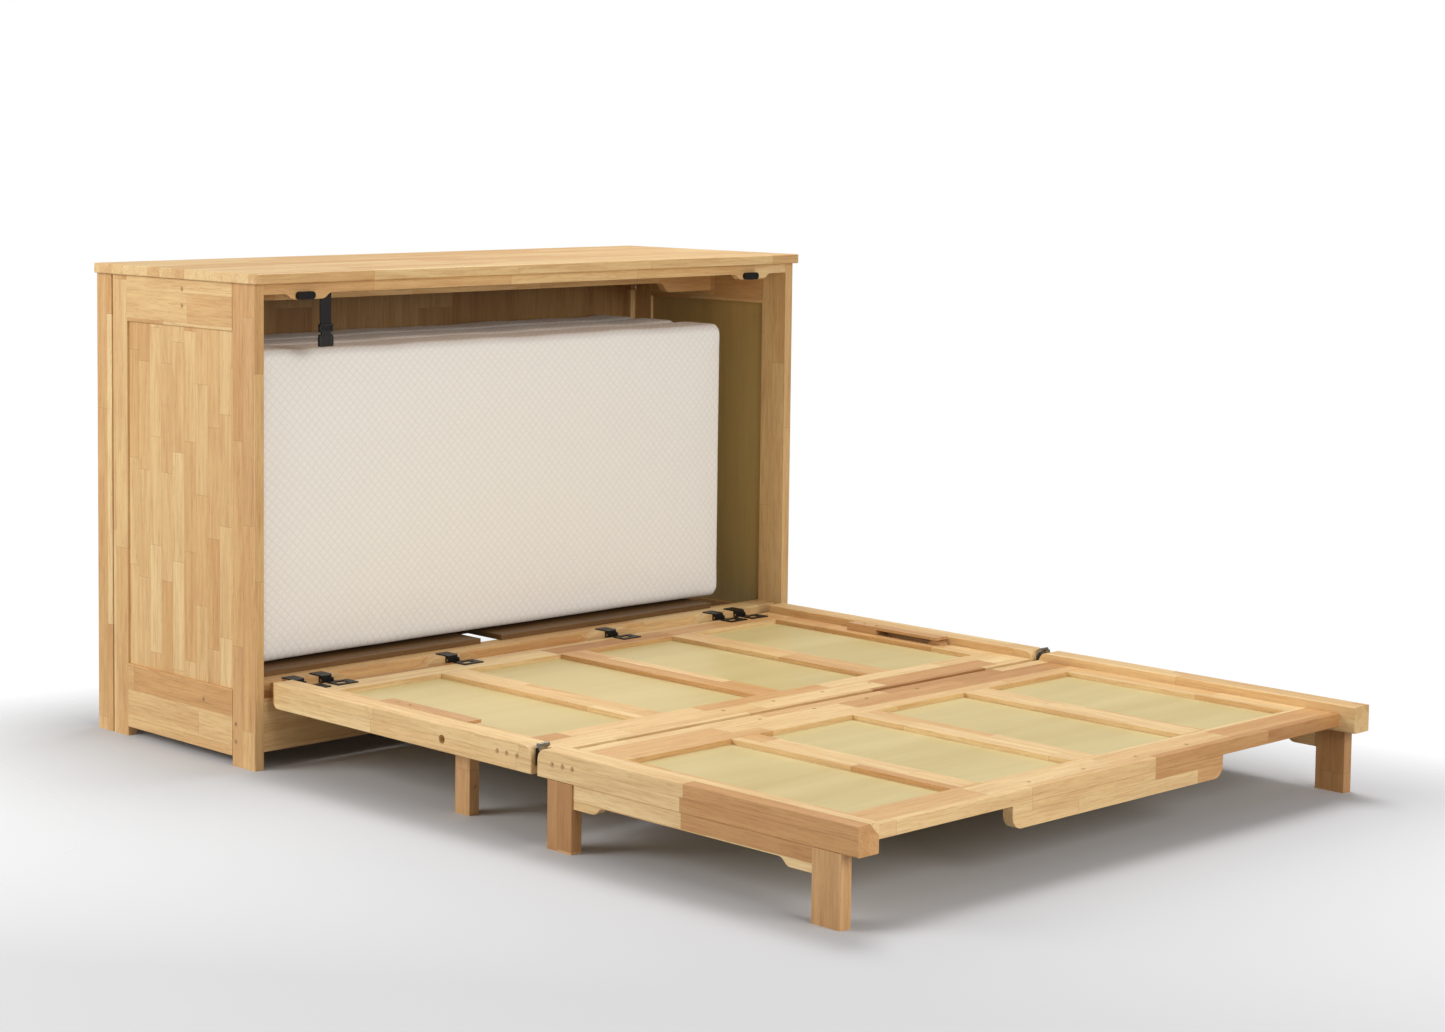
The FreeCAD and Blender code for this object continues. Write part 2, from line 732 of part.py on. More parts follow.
def inner_section():
    """The section hinged to the cabinet, with slots for its two swing legs."""
    heads = []
    bolts = []
    for name, sign in SIDES:
        rail = side_rail(sign, ("inner_end", "inner_start"), "inner_end", "inner_start",
                         INNER_SIDE_YS)
        sink = rod("pivot_head + 1", 21, "side_outer - 20" if sign > 0 else "-side_outer - 1",
                   "pivot_y", "pivot_z", "x")
        shank_x = mirrored(sign, "guard_inner - 6", "side_outer - 20")[0]
        shank_long = "side_outer - 20 - guard_inner + 6"
        shank = rod("pivot_pin", shank_long, shank_x, "pivot_y", "pivot_z", "x")
        piece(f"inner_{name}_rail", cut(rail, [sink, shank]))
        head_x = mirrored(sign, "side_outer - 20", "side_outer - 15")[0]
        bolts.append(joined([
            rod("pivot_pin", shank_long, shank_x, "pivot_y", "pivot_z", "x"),
            rod("pivot_head", 5, head_x, "pivot_y", "pivot_z", "x")]))
        heads += screw_heads(side_spots(sign, INNER_SIDE_YS), "x", sign)
        over = mirrored(sign, "guard_inner", "side_inner")
        spots = [(signed(sign, "side_inner - 19"), y, "side_high") for y in GUARD_SCREWS]
        solid = joined([
            block(over, ("guard_block_end", "guard_start"), ("deck_high", "side_high")),
            block(over, ("guard_end", "guard_block_end"), ("guard_strip_low", "side_high"))])
        piece(f"{name}_leg_guard", cut(solid, screw_holes(spots, "z", 1)))
        heads += screw_heads(spots, "z", 1)
    piece("pivot_bolts", bolts)

    across = ("-side_inner", "side_inner")
    deck = ("deck_low", "deck_high")
    piece("inner_hinge_rail", block(across, ("inner_bar_start", "inner_start"), deck))
    spots = row_of_screws(*INNER_FOLD_SCREWS)
    fold_rail = block(across, ("inner_end", "inner_bar_end"), deck)
    piece("inner_fold_rail", cut(fold_rail, screw_holes(spots, "z", 1)))
    heads += screw_heads(spots, "z", 1)

    length = ("inner_bar_end", "inner_bar_start")
    bars, solids = deck_bars(length)
    stiles = []
    for stile, sign in ((solids[0], -1), (solids[-1], 1)):
        slot = block(mirrored(sign, "slot_inner", "side_inner + 1"), ("slot_far", "slot_near"),
                     ("deck_low - 1", "deck_high + 1"))
        start = mirrored(sign, "guard_inner - 6", "side_inner")[0]
        hole = rod("pivot_pin", "side_inner - guard_inner + 6", start, "pivot_y", "pivot_z", "x")
        stiles.append(cut(stile, [slot, hole]))
    piece("inner_stiles", stiles)
    piece("inner_muntins", solids[1:-1])
    piece("inner_panels", panels_between(bars, length, ("panel_low", "panel_high")))
    piece("inner_screws", heads)


def swing_legs():
    """Two legs that hang from pivots in the inner section, each with a rubber stop."""
    for name, sign in SIDES:
        across = mirrored(sign, "swing_inner", "swing_outer")
        depth = ("pivot_y - swing_half", "pivot_y + swing_half")
        shank = board(across, depth, ("0", "pivot_z"), "z", "leg_ease")
        head = rod("swing_half", "swing_outer - swing_inner", across[0],
                   "pivot_y", "pivot_z", "x")
        middle = signed(sign, "(swing_inner + swing_outer) / 2")
        sink = rod("knob_radius", 4, middle, "pivot_y - swing_half - 1", "knob_z", "y")
        bore = rod("pivot_bore", "swing_outer - swing_inner + 2", f"{across[0]} - 1",
                   "pivot_y", "pivot_z", "x")
        piece(f"{name}_swing_leg", cut(joined([shank, head]), [sink, bore]))
        piece(f"{name}_leg_stop", rod("knob_radius", "knob_deep", middle,
                                      "pivot_y + swing_half", "knob_z", "y"))


def leg_apron_outline():
    """The shaped board between a side's two fixed legs, drawn in y and z."""
    far = size("outer_face") + size("leg_wide")
    near = size("outer_start") - size("leg_setback") - size("leg_wide")
    flat = size("leg_apron_flat")
    sweep = size("leg_apron_ogee")
    low = size("leg_apron_low")
    high = size("leg_apron_mid")
    return [
        (near, size("side_low"), "line"),
        (near, low, "line"),
        (near - flat, low, "line"),
        (near - flat - sweep, high, "ogee"),
        (far + flat + sweep, high, "line"),
        (far + flat, low, "ogee"),
        (far, low, "line"),
        (far, size("side_low"), "line"),
    ]


def outer_section():
    """The far section, which stands on four fixed legs."""
    heads = []
    legs = []
    aprons_under = []
    for name, sign in SIDES:
        piece(f"outer_{name}_rail", side_rail(
            sign, ("outer_end", "outer_start"), "outer_start", None, OUTER_SIDE_YS))
        heads += screw_heads(side_spots(sign, OUTER_SIDE_YS), "x", sign)
        across = mirrored(sign, "side_outer - leg_thick", "side_outer")
        for near in ("outer_start - leg_setback", "outer_face + leg_wide"):
            legs.append(board(across, (f"{near} - leg_wide", near), ("0", "side_low"), "z",
                              "leg_ease"))
        thick = mirrored(sign, "side_outer - leg_apron_inset - leg_apron_thick",
                         "side_outer - leg_apron_inset")
        aprons_under.append(sawn(leg_apron_outline(), "x", *thick))
    piece("outer_legs", legs)
    piece("leg_aprons", aprons_under)

    across = ("-side_inner", "side_inner")
    deck = ("deck_low", "deck_high")
    fold_spots = row_of_screws(*OUTER_FOLD_SCREWS)
    front_spots = row_of_screws(*OUTER_FRONT_SCREWS)
    fold_rail = block(across, ("outer_bar_start", "outer_start"), deck)
    piece("outer_fold_rail", cut(fold_rail, screw_holes(fold_spots, "z", 1)))
    front_rail = board(across, ("outer_face", "outer_bar_end"), deck, "x", "board_ease")
    piece("outer_front_rail", cut(front_rail, screw_holes(front_spots, "z", 1)))
    heads += screw_heads(fold_spots + front_spots, "z", 1)

    length = ("outer_bar_end", "outer_bar_start")
    bars, solids = deck_bars(length)
    piece("outer_bars", solids)
    piece("outer_panels", panels_between(bars, length, ("panel_low", "panel_high")))
    piece("outer_screws", heads)

    pull = block(("-pull_half", "pull_half"), ("outer_face", "outer_face + pull_thick"),
                 ("pull_low", "deck_low"))
    shaped = rounded(pull, size("pull_corner"), at_corner("y", z=size("pull_low")))
    piece("pull_board", shaped)


# ---------------------------------------------------------------- whole object

cabinet_top()
cabinet_screws = []
for side_name, side_sign in SIDES:
    cabinet_screws += cabinet_side(side_name, side_sign)
cabinet_back()
aprons()
top_fittings()
cabinet_screws += cabinet_base()
piece("cabinet_screws", cabinet_screws)
mattress()
bed_hinges()
inner_section()
swing_legs()
outer_section()
fold_hinges()

doc.recompute()
for thing in doc.Objects:
    if "Invalid" in thing.State or "Error" in thing.State:
        raise RuntimeError(f"{thing.Name} {thing.Label} failed: {thing.State}")

os.makedirs("parts", exist_ok=True)
for finished in PIECES:
    if finished.Shape.isNull() or not finished.Shape.isValid():
        raise RuntimeError(f"{finished.Label} has no valid shape")
    finished.Shape.exportStep(f"parts/{finished.Label}.step")
print(f"{len(PIECES)} sub-parts written")
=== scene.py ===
import math

import bmesh
import bpy
from mathutils import Matrix, Vector


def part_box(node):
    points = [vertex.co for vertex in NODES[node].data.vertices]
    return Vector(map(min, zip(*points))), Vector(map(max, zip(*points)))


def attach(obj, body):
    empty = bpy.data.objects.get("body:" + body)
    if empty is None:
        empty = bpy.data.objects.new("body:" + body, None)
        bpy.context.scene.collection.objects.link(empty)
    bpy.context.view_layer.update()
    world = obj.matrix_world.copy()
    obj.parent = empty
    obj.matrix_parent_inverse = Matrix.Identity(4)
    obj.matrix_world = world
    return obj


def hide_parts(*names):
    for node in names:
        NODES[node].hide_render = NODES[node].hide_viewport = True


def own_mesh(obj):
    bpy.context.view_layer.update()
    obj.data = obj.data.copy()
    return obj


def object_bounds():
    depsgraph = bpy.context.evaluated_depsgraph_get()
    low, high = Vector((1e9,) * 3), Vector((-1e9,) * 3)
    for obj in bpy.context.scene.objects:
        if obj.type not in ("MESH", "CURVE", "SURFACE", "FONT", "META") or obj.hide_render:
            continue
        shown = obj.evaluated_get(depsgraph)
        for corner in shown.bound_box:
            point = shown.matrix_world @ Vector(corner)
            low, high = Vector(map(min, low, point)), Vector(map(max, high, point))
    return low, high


# Cabinet bed: wood, metal and fabric finishes, the mattress and strap, light and camera.
# Lengths are metres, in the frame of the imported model.

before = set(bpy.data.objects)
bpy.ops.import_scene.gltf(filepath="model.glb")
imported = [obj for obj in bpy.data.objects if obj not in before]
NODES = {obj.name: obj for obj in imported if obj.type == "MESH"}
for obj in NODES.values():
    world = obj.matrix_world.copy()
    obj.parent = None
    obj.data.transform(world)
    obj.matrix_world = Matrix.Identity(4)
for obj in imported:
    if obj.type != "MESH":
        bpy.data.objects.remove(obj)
CAD_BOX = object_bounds()


# ------------------------------------------------------------------ node graphs

def linear(rgb):
    """An 8-bit display colour as linear RGBA."""
    values = [c / 255 for c in rgb]
    return [c / 12.92 if c <= 0.04045 else ((c + 0.055) / 1.055) ** 2.4 for c in values] + [1.0]


class Graph:
    """A material's node tree, with short calls for the nodes that the finishes share."""

    def __init__(self, name):
        self.material = bpy.data.materials.new(name)
        self.material.use_nodes = True
        self.tree = self.material.node_tree
        self.shader = self.tree.nodes["Principled BSDF"]

    def feed(self, socket, value):
        """Link a socket to another, or set its value."""
        if isinstance(value, bpy.types.NodeSocket):
            self.tree.links.new(value, socket)
        else:
            socket.default_value = value

    def math(self, operation, *values):
        node = self.tree.nodes.new("ShaderNodeMath")
        node.operation = operation
        for socket, value in zip(node.inputs, values):
            self.feed(socket, value)
        return node.outputs[0]

    def coordinate(self, kind):
        """One of the object's own coordinates, as x, y and z."""
        where = self.tree.nodes.new("ShaderNodeTexCoord")
        split = self.tree.nodes.new("ShaderNodeSeparateXYZ")
        self.feed(split.inputs[0], where.outputs[kind])
        return dict(zip("xyz", split.outputs))

    def position(self):
        """The place in the object's own frame, as x, y and z."""
        return self.coordinate("Object")

    def facing(self):
        """Which way the surface looks in the object's own frame, as x, y and z."""
        return self.coordinate("Normal")

    def vector(self, x, y, z):
        node = self.tree.nodes.new("ShaderNodeCombineXYZ")
        for socket, value in zip(node.inputs, (x, y, z)):
            self.feed(socket, value)
        return node.outputs[0]

    def stretch(self, places, scales, shifts=(None, None, None)):
        """A vector of three places, each scaled and then shifted if a shift is given."""
        values = []
        for place, scale, shift in zip(places, scales, shifts):
            value = self.math("MULTIPLY", place, scale)
            values.append(value if shift is None else self.math("ADD", value, shift))
        return self.vector(*values)

    def noise(self, vector, scale, detail=4.0, rough=0.55, distortion=0.0):
        node = self.tree.nodes.new("ShaderNodeTexNoise")
        self.feed(node.inputs["Vector"], vector)
        node.inputs["Scale"].default_value = scale
        node.inputs["Detail"].default_value = detail
        node.inputs["Roughness"].default_value = rough
        node.inputs["Distortion"].default_value = distortion
        return node.outputs[0]

    def random(self, vector):
        """A steady random number for each whole-numbered vector."""
        node = self.tree.nodes.new("ShaderNodeTexWhiteNoise")
        node.noise_dimensions = "3D"
        self.feed(node.inputs["Vector"], vector)
        return node.outputs["Value"]

    def ramp(self, value, stops):
        """A colour for a value from 0 to 1, blended between stops."""
        node = self.tree.nodes.new("ShaderNodeValToRGB")
        self.feed(node.inputs[0], value)
        elements = node.color_ramp.elements
        while len(elements) < len(stops):
            elements.new(0.5)
        for element, (place, colour) in zip(elements, stops):
            element.position = place
            element.color = colour
        return node.outputs[0]

    def mix(self, factor, a, b, how="MIX"):
        node = self.tree.nodes.new("ShaderNodeMix")
        node.data_type = "RGBA"
        node.blend_type = how
        self.feed(node.inputs[0], factor)
        self.feed(node.inputs[6], a)
        self.feed(node.inputs[7], b)
        return node.outputs[2]

    def span(self, value, low, high, to_low, to_high):
        """Map a range to another, clamped."""
        node = self.tree.nodes.new("ShaderNodeMapRange")
        for socket, number in zip(node.inputs, (value, low, high, to_low, to_high)):
            self.feed(socket, number)
        return node.outputs[0]

    def bump(self, height, strength, distance):
        node = self.tree.nodes.new("ShaderNodeBump")
        node.inputs["Strength"].default_value = strength
        node.inputs["Distance"].default_value = distance
        self.feed(node.inputs["Height"], height)
        self.feed(self.shader.inputs["Normal"], node.outputs[0])

    def set(self, **values):
        """Set the shader's sockets, named with underscores for spaces."""
        for name, value in values.items():
            self.feed(self.shader.inputs[name.replace("_", " ")], value)


# ------------------------------------------------------------------ finishes

WOOD_TONES = [(190, 140, 86), (211, 165, 108), (225, 189, 133), (235, 206, 152)]
# painted shade: darker tones for the left post's front face and for the legs and their guards
SHADED_FRONT_TONES = [(158, 112, 64), (184, 138, 88), (202, 158, 106), (214, 172, 120)]
# painted shade: darker tones for the parts inside the cabinet and under the top and deck
INSIDE_SHADE_TONES = [(150, 112, 70), (166, 128, 82), (180, 144, 94), (188, 154, 104)]
BOARD_TONES = [(92, 66, 36), (104, 76, 42), (116, 86, 50), (126, 94, 56)]
PANEL_TONES = [(188, 168, 112), (198, 178, 122), (206, 188, 134), (214, 198, 146)]
LINING_TONES = [(172, 146, 88), (180, 154, 96), (188, 162, 104), (196, 170, 112)]
LINING_SEED = 3.0

WARM_TINT = (186, 136, 84)          # broad figure
COMB_TINT = (204, 160, 112)         # streaks along the grain
PORE_TINT = (118, 78, 42)
GLUE_TINT = (110, 74, 42)
FLECK_TINT = (168, 138, 84)         # in veneer

TONE_STOPS = (0.0, 0.16, 0.5, 1.0)  # most staves are pale, and a few are darker
TONE_MIDDLE = 0.62                  # contrast widens or narrows the tones around this
FAR = 20.0                          # a shift that keeps every place positive
SEED_SHIFT = 0.013                  # metres that one step of seed moves the rows
GLUE_LINE = 0.0004                  # half a line between rows
JOINT_LINE = 0.0006                 # half a line between the pieces of a row


def wood(name, grain, stave_long, stave_wide, tones, seed=0.0, contrast=1.0, lanes=None,
         lining=0):
    """Lacquered wood glued up from finger-jointed staves that run along one axis.

    The staves lie side by side along the lanes axis, or round the board's corners if none is given.
    With a lining of 1 or -1, the face that looks to +x or -x is a veneered sheet.
    """
    g = Graph(name)
    place = g.position()
    others = [place[letter] for letter in "xyz" if letter != grain]
    along = place[grain]
    ways = [along, *others]
    across = place[lanes] if lanes else g.math("ADD", *others)

    # Each stave is a row across the board, broken into pieces of random start along it.
    lane = g.math("DIVIDE", g.math("ADD", across, FAR + seed * SEED_SHIFT), stave_wide)
    row = g.math("FLOOR", lane)
    start = g.random(g.vector(row, seed, 3.0))
    run = g.math("ADD", g.math("DIVIDE", g.math("ADD", along, FAR), stave_long),
                 g.math("MULTIPLY", start, 5.0))
    column = g.math("FLOOR", run)
    tone = g.random(g.vector(row, column, seed))

    # The grain of each stave is cut from another place.
    shift = g.math("MULTIPLY", tone, 37.0)
    figure = g.noise(g.stretch(ways, (2.2, 34.0, 34.0), (shift, shift, None)), 1.0, 4.0, 0.6, 0.7)
    fine = g.noise(g.stretch(ways, (38.0, 620.0, 620.0)), 1.0, 2.0, 0.5)
    pores = g.span(fine, 0.60, 0.74, 0.0, 1.0)
    streak = g.noise(g.stretch(ways, (11.0, 230.0, 230.0), (shift, None, None)), 1.0, 4.0, 0.68)

    spread = g.math("MULTIPLY", g.math("SUBTRACT", tone, TONE_MIDDLE), contrast)
    base = g.ramp(g.math("ADD", spread, TONE_MIDDLE),
                  list(zip(TONE_STOPS, [linear(t) for t in tones])))
    warm = g.mix(g.span(figure, 0.42, 0.72, 0.0, 0.34), base, linear(WARM_TINT), "MULTIPLY")
    combed = g.mix(g.span(streak, 0.46, 0.70, 0.0, 0.42), warm, linear(COMB_TINT), "MULTIPLY")
    dashed = g.mix(g.math("MULTIPLY", pores, 0.30), combed, linear(PORE_TINT))

    # Glue lines between rows and finger joints between pieces show as thin darker lines.
    lane_edge = g.math("ABSOLUTE", g.math("SUBTRACT", g.math("FRACT", lane), 0.5))
    run_edge = g.math("ABSOLUTE", g.math("SUBTRACT", g.math("FRACT", run), 0.5))
    line = g.math("MAXIMUM", g.math("GREATER_THAN", lane_edge, 0.5 - GLUE_LINE / stave_wide),
                  g.math("GREATER_THAN", run_edge, 0.5 - JOINT_LINE / stave_long))
    colour = g.mix(g.math("MULTIPLY", line, 0.30), dashed, linear(GLUE_TINT))
    if lining:
        inward = g.math("GREATER_THAN", g.math("MULTIPLY", g.facing()["x"], lining), 0.5)
        colour = g.mix(inward, colour, sheet(g, grain, LINING_TONES, LINING_SEED)[0])
    g.set(Base_Color=colour, Roughness=g.span(figure, 0.3, 0.8, 0.40, 0.54))
    g.set(Specular_IOR_Level=0.36, Coat_Weight=0.08, Coat_Roughness=0.34)
    g.bump(g.math("SUBTRACT", g.math("MULTIPLY", streak, 0.6), pores), 0.35, 0.0004)
    return g.material


def sheet(g, grain, tones, seed):
    """The colour and the streaks of one veneered sheet, with fine straight grain."""
    place = g.position()
    ways = [place[grain]] + [place[letter] for letter in "xyz" if letter != grain]
    broad = g.noise(g.stretch(ways, (0.9, 9.0, 9.0), (None, seed, None)), 1.0, 3.0, 0.5, 0.5)
    streak = g.noise(g.stretch(ways, (6.0, 210.0, 210.0)), 1.0, 3.0, 0.6)
    stops = [(0.25 + 0.5 * i / (len(tones) - 1), linear(t)) for i, t in enumerate(tones)]
    base = g.ramp(g.math("ADD", g.math("MULTIPLY", broad, 0.6), g.math("MULTIPLY", streak, 0.4)),
                  stops)
    flecks = g.span(streak, 0.60, 0.76, 0.0, 0.16)
    return g.mix(flecks, base, linear(FLECK_TINT)), streak


def veneer(name, grain, tones, seed):
    """Thin veneered board: one sheet with no glue lines."""
    g = Graph(name)
    colour, streak = sheet(g, grain, tones, seed)
    g.set(Base_Color=colour, Roughness=g.span(streak, 0.3, 0.7, 0.36, 0.46))
    g.set(Specular_IOR_Level=0.42, Coat_Weight=0.10, Coat_Roughness=0.3)
    g.bump(streak, 0.15, 0.0003)
    return g.material


def metal(name, rgb, metallic, low, high):
    """Plated or coated metal with faint unevenness in its gloss."""
    g = Graph(name)
    cloud = g.noise(g.vector(*g.position().values()), 160.0, 5.0, 0.6)
    lighter = [min(255, c + 26) for c in rgb]
    worn = g.mix(g.span(cloud, 0.5, 0.8, 0.0, 0.35), linear(rgb), linear(lighter))
    g.set(Base_Color=worn, Metallic=metallic, Roughness=g.span(cloud, 0.3, 0.7, low, high))
    g.bump(cloud, 0.12, 0.0002)
    return g.material


DIAMOND = 0.021                     # size of the mattress cover's quilting


def quilted_cloth():
    """Knitted mattress cover, quilted in small diamonds, with painted shade in the grooves between
    them.
    """
    g = Graph("mattress_cover")
    place = g.position()
    up = g.math("ADD", place["z"], place["y"])
    rate = math.tau / DIAMOND / 2
    wave = g.noise(g.vector(*place.values()), 9.0, 2.0, 0.5)
    bend = g.math("MULTIPLY", g.math("SUBTRACT", wave, 0.5), 1.2)
    rising, falling = (
        g.math("SINE", g.math("ADD", g.math("MULTIPLY", g.math(how, place["x"], up), rate), bend))
        for how in ("ADD", "SUBTRACT"))
    pillow = g.math("MINIMUM", g.math("ABSOLUTE", rising), g.math("ABSOLUTE", falling))
    puff = g.math("POWER", pillow, 0.55)
    knit = g.noise(g.stretch(place.values(), (900.0,) * 3), 1.0, 1.0, 0.5)
    # Painted shade: the grooves between the puffed diamonds are mixed toward a darker colour.
    groove_shade = g.span(puff, 0.0, 0.75, 0.36, 0.0)
    base = g.mix(groove_shade, linear((250, 249, 246)), linear((222, 213, 200)))
    g.set(Base_Color=g.mix(g.math("MULTIPLY", knit, 0.08), base, linear((230, 220, 206))))
    g.set(Roughness=0.86, Specular_IOR_Level=0.2, Sheen_Weight=0.25, Sheen_Roughness=0.5)
    g.bump(g.math("ADD", puff, g.math("MULTIPLY", knit, 0.18)), 0.45, 0.0014)
    return g.material


def webbing_cloth():
    """Black webbing woven in fine ribs across its width."""
    g = Graph("strap_webbing_weave")
    place = g.position()
    rib_pitch, warp_pitch = 0.0016, 0.0022
    ribs = g.math("SINE", g.math("MULTIPLY", place["z"], math.tau / rib_pitch))
    warp = g.math("SINE", g.math("MULTIPLY", place["x"], math.tau / warp_pitch))
    weave = g.math("MULTIPLY", ribs, warp)
    g.set(Base_Color=g.mix(g.span(weave, -1.0, 1.0, 0.0, 1.0), linear((16, 16, 17)),
                           linear((44, 44, 46))))
    g.set(Roughness=0.7, Specular_IOR_Level=0.35)
    g.bump(weave, 0.5, 0.0004)
    return g.material


def moulded(name, rgb, rough):
    """Black moulded plastic or rubber with a fine eroded texture."""
    g = Graph(name)
    grit = g.noise(g.vector(*g.position().values()), 1400.0, 2.0, 0.5)
    g.set(Base_Color=g.mix(grit, linear(rgb), linear([c + 14 for c in rgb])))
    g.set(Roughness=g.span(grit, 0.3, 0.7, rough, rough + 0.12))
    g.bump(grit, 0.3, 0.0002)
    return g.material


def paint(material, *names):
    """Give CAD nodes a finish."""
    for name in names:
        mesh = NODES[name].data
        mesh.materials.clear()
        mesh.materials.append(material)


# On the left post the front face's own stave is darkened with the shaded front tones, as painted
# shade.
POST_LANE = 0.0385                  # the lanes' edges fall 3 mm behind the posts' front faces,
POST_SEED = 2.192                   # so those have staves of their own


def finish_wood():
    """Every board's grain runs along its length."""
    pale = WOOD_TONES[1:2] + WOOD_TONES[1:]
    mixed = WOOD_TONES
    # Painted shade: the left post's tones begin with the darker shaded front tones.
    post = SHADED_FRONT_TONES[2:] + mixed[1:3]
    paint(wood("top_staves", "x", 0.42, 0.046, pale, 2.0, 0.6, "y"), "top_board")
    paint(wood("post_staves", "z", 0.44, POST_LANE, post, POST_SEED, 1.0, "y"),
          "left_front_post")
    paint(wood("right_post_staves", "z", 0.60, POST_LANE, mixed, POST_SEED, 0.4, "y"),
          "right_front_post")
    paint(wood("rear_stile_staves", "z", 0.60, 0.06, mixed, 6.0, 0.6, "y"),
          "left_rear_stile", "right_rear_stile")
    paint(wood("back_post_staves", "z", 0.7, 0.06, pale, 8.0, 0.8, "y"),
          "left_back_post", "right_back_post")
    # The side panels are staves outside and a plain sheet inside.
    paint(wood("left_panel_staves", "z", 0.24, 0.043, pale, 15.0, 0.65, "y", 1), "left_side_panel")
    paint(wood("right_panel_staves", "z", 0.24, 0.043, pale, 16.0, 0.65, "y", -1),
          "right_side_panel")
    paint(wood("side_rail_staves", "y", 0.46, 0.064, mixed, 14.0, 1.0, "z"),
          "left_side_rails", "right_side_rails")
    paint(wood("apron_staves", "x", 0.40, 0.05, mixed, 17.0, 0.7),
          "front_apron", "rear_apron", "kick_board", "hinge_rail")
    # Painted shade: the inside parts take darker tones than the same wood outside.
    paint(wood("inside_staves", "z", 0.9, 0.11, INSIDE_SHADE_TONES, 20.0, 0.8, "x"), "back_planks")
    paint(wood("inside_rails", "x", 0.8, 0.06, INSIDE_SHADE_TONES, 23.0, 0.8),
          "back_rails", "deck_ledger")
    paint(wood("deck_board_wood", "x", 0.9, 0.09, BOARD_TONES, 24.0, 0.8),
          "left_deck_board", "right_deck_board")
    paint(wood("inside_battens", "y", 0.8, 0.06, INSIDE_SHADE_TONES, 26.0, 0.8),
          "deck_joists", "top_battens")
    paint(wood("bed_side_staves", "y", 0.44, 0.055, mixed, 29.0, 0.95),
          "inner_left_rail", "inner_right_rail", "outer_left_rail", "outer_right_rail",
          "leg_aprons")
    paint(wood("guard_wood", "y", 0.9, 0.06, SHADED_FRONT_TONES, 31.0, 0.6),
          "left_leg_guard", "right_leg_guard")
    paint(wood("bed_cross_staves", "x", 0.38, 0.060, mixed, 35.0, 1.0),
          "inner_hinge_rail", "inner_fold_rail", "outer_fold_rail", "outer_front_rail",
          "pull_board")
    paint(wood("bed_bar_staves", "y", 0.36, 0.076, mixed, 38.0, 0.9),
          "inner_stiles", "inner_muntins", "outer_bars")
    paint(veneer("bed_panels", "x", PANEL_TONES, 7.0), "inner_panels", "outer_panels")
    # Painted shade: the legs take the darker shaded front tones.
    paint(wood("leg_wood", "z", 0.5, 0.07, SHADED_FRONT_TONES, 43.0, 0.8),
          "outer_legs", "left_swing_leg", "right_swing_leg")


def finish_hardware():
    """Steel, plated, yellow-plated and rubber parts."""
    black = metal("black_steel", (22, 21, 20), 0.4, 0.34, 0.5)
    paint(black, "catches", "hinge_leaves", "hinge_plates")
    paint(metal("zinc_plate", (150, 142, 130), 1.0, 0.28, 0.42),
          "hinge_pins", "fold_hinge_arms", "fold_hinge_plates", "stay_pin")
    paint(metal("yellow_zinc", (206, 166, 116), 0.55, 0.3, 0.45),
          "cabinet_screws", "inner_screws", "outer_screws", "pivot_bolts")
    paint(moulded("rubber", (18, 18, 18), 0.6), "left_leg_stop", "right_leg_stop")


# ------------------------------------------------------------------ mesh help

def new_piece(name, mesh_maker, material, body):
    """Make a piece with mesh_maker, give it a finish and let it ride on a body."""
    shape = bmesh.new()
    mesh_maker(shape)
    mesh = bpy.data.meshes.new(name)
    shape.to_mesh(mesh)
    shape.free()
    thing = bpy.data.objects.new(name, mesh)
    bpy.context.scene.collection.objects.link(thing)
    mesh.materials.append(material)
    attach(thing, body)
    return thing


def add_box(shape, low, high, bevel, segments=3):
    """Add a box with rounded edges between two corners."""
    made = bmesh.ops.create_cube(shape, size=1.0)
    low, high = Vector(low), Vector(high)
    for vertex in made["verts"]:
        vertex.co = Vector(((low[i] + high[i]) / 2 + vertex.co[i] * (high[i] - low[i]))
                           for i in range(3))
    edges = dict.fromkeys(edge for vertex in made["verts"] for edge in vertex.link_edges)
    bmesh.ops.bevel(shape, geom=list(edges), offset=bevel, segments=segments,
                    affect="EDGES", profile=0.5)


def apply_modifiers(thing):
    """Bake a piece's modifiers into its mesh."""
    graph = bpy.context.evaluated_depsgraph_get()
    mesh = bpy.data.meshes.new_from_object(thing.evaluated_get(graph))
    thing.modifiers.clear()
    thing.data = mesh


def smooth(thing):
    """Shade a piece smoothly."""
    for polygon in thing.data.polygons:
        polygon.use_smooth = True


# ------------------------------------------------------------------ mattress

SHRINK = 0.006                      # a cushion starts this much inside its solid, and swells back
SWELL_LIMIT = 0.006
CUSHION_ROUND = 0.017
VOXEL = 0.013
SWELL_FRAMES = 20
SWELL_PRESSURE = 4.0
SEAT = 0.0005                       # a cushion stands this much above its solid's low face
SLUMP = 0.006                       # how far its foot settles,
SLUMP_HIGH = 0.05                   # and up to what height
RIPPLES = ((0.0010, 19.0, 0), (0.0006, 43.0, 30))   # depth, rate across, shift with the layer


def inflate(thing):
    """Swell a remeshed cushion with cloth pressure, keeping every point near where it began."""
    rest = [vertex.co.copy() for vertex in thing.data.vertices]
    cloth = thing.modifiers.new("swell", "CLOTH")
    cloth.settings.use_pressure = True
    cloth.settings.uniform_pressure_force = SWELL_PRESSURE
    cloth.settings.effector_weights.gravity = 0
    cloth.settings.quality = 4
    cloth.settings.tension_stiffness = 22
    cloth.settings.compression_stiffness = 22
    cloth.point_cache.frame_end = SWELL_FRAMES
    scene = bpy.context.scene
    for number in range(1, SWELL_FRAMES + 1):
        scene.frame_set(number)
    apply_modifiers(thing)
    scene.frame_set(1)
    for vertex, before in zip(thing.data.vertices, rest):
        moved = vertex.co - before
        if moved.length > SWELL_LIMIT:
            vertex.co = before + moved.normalized() * SWELL_LIMIT


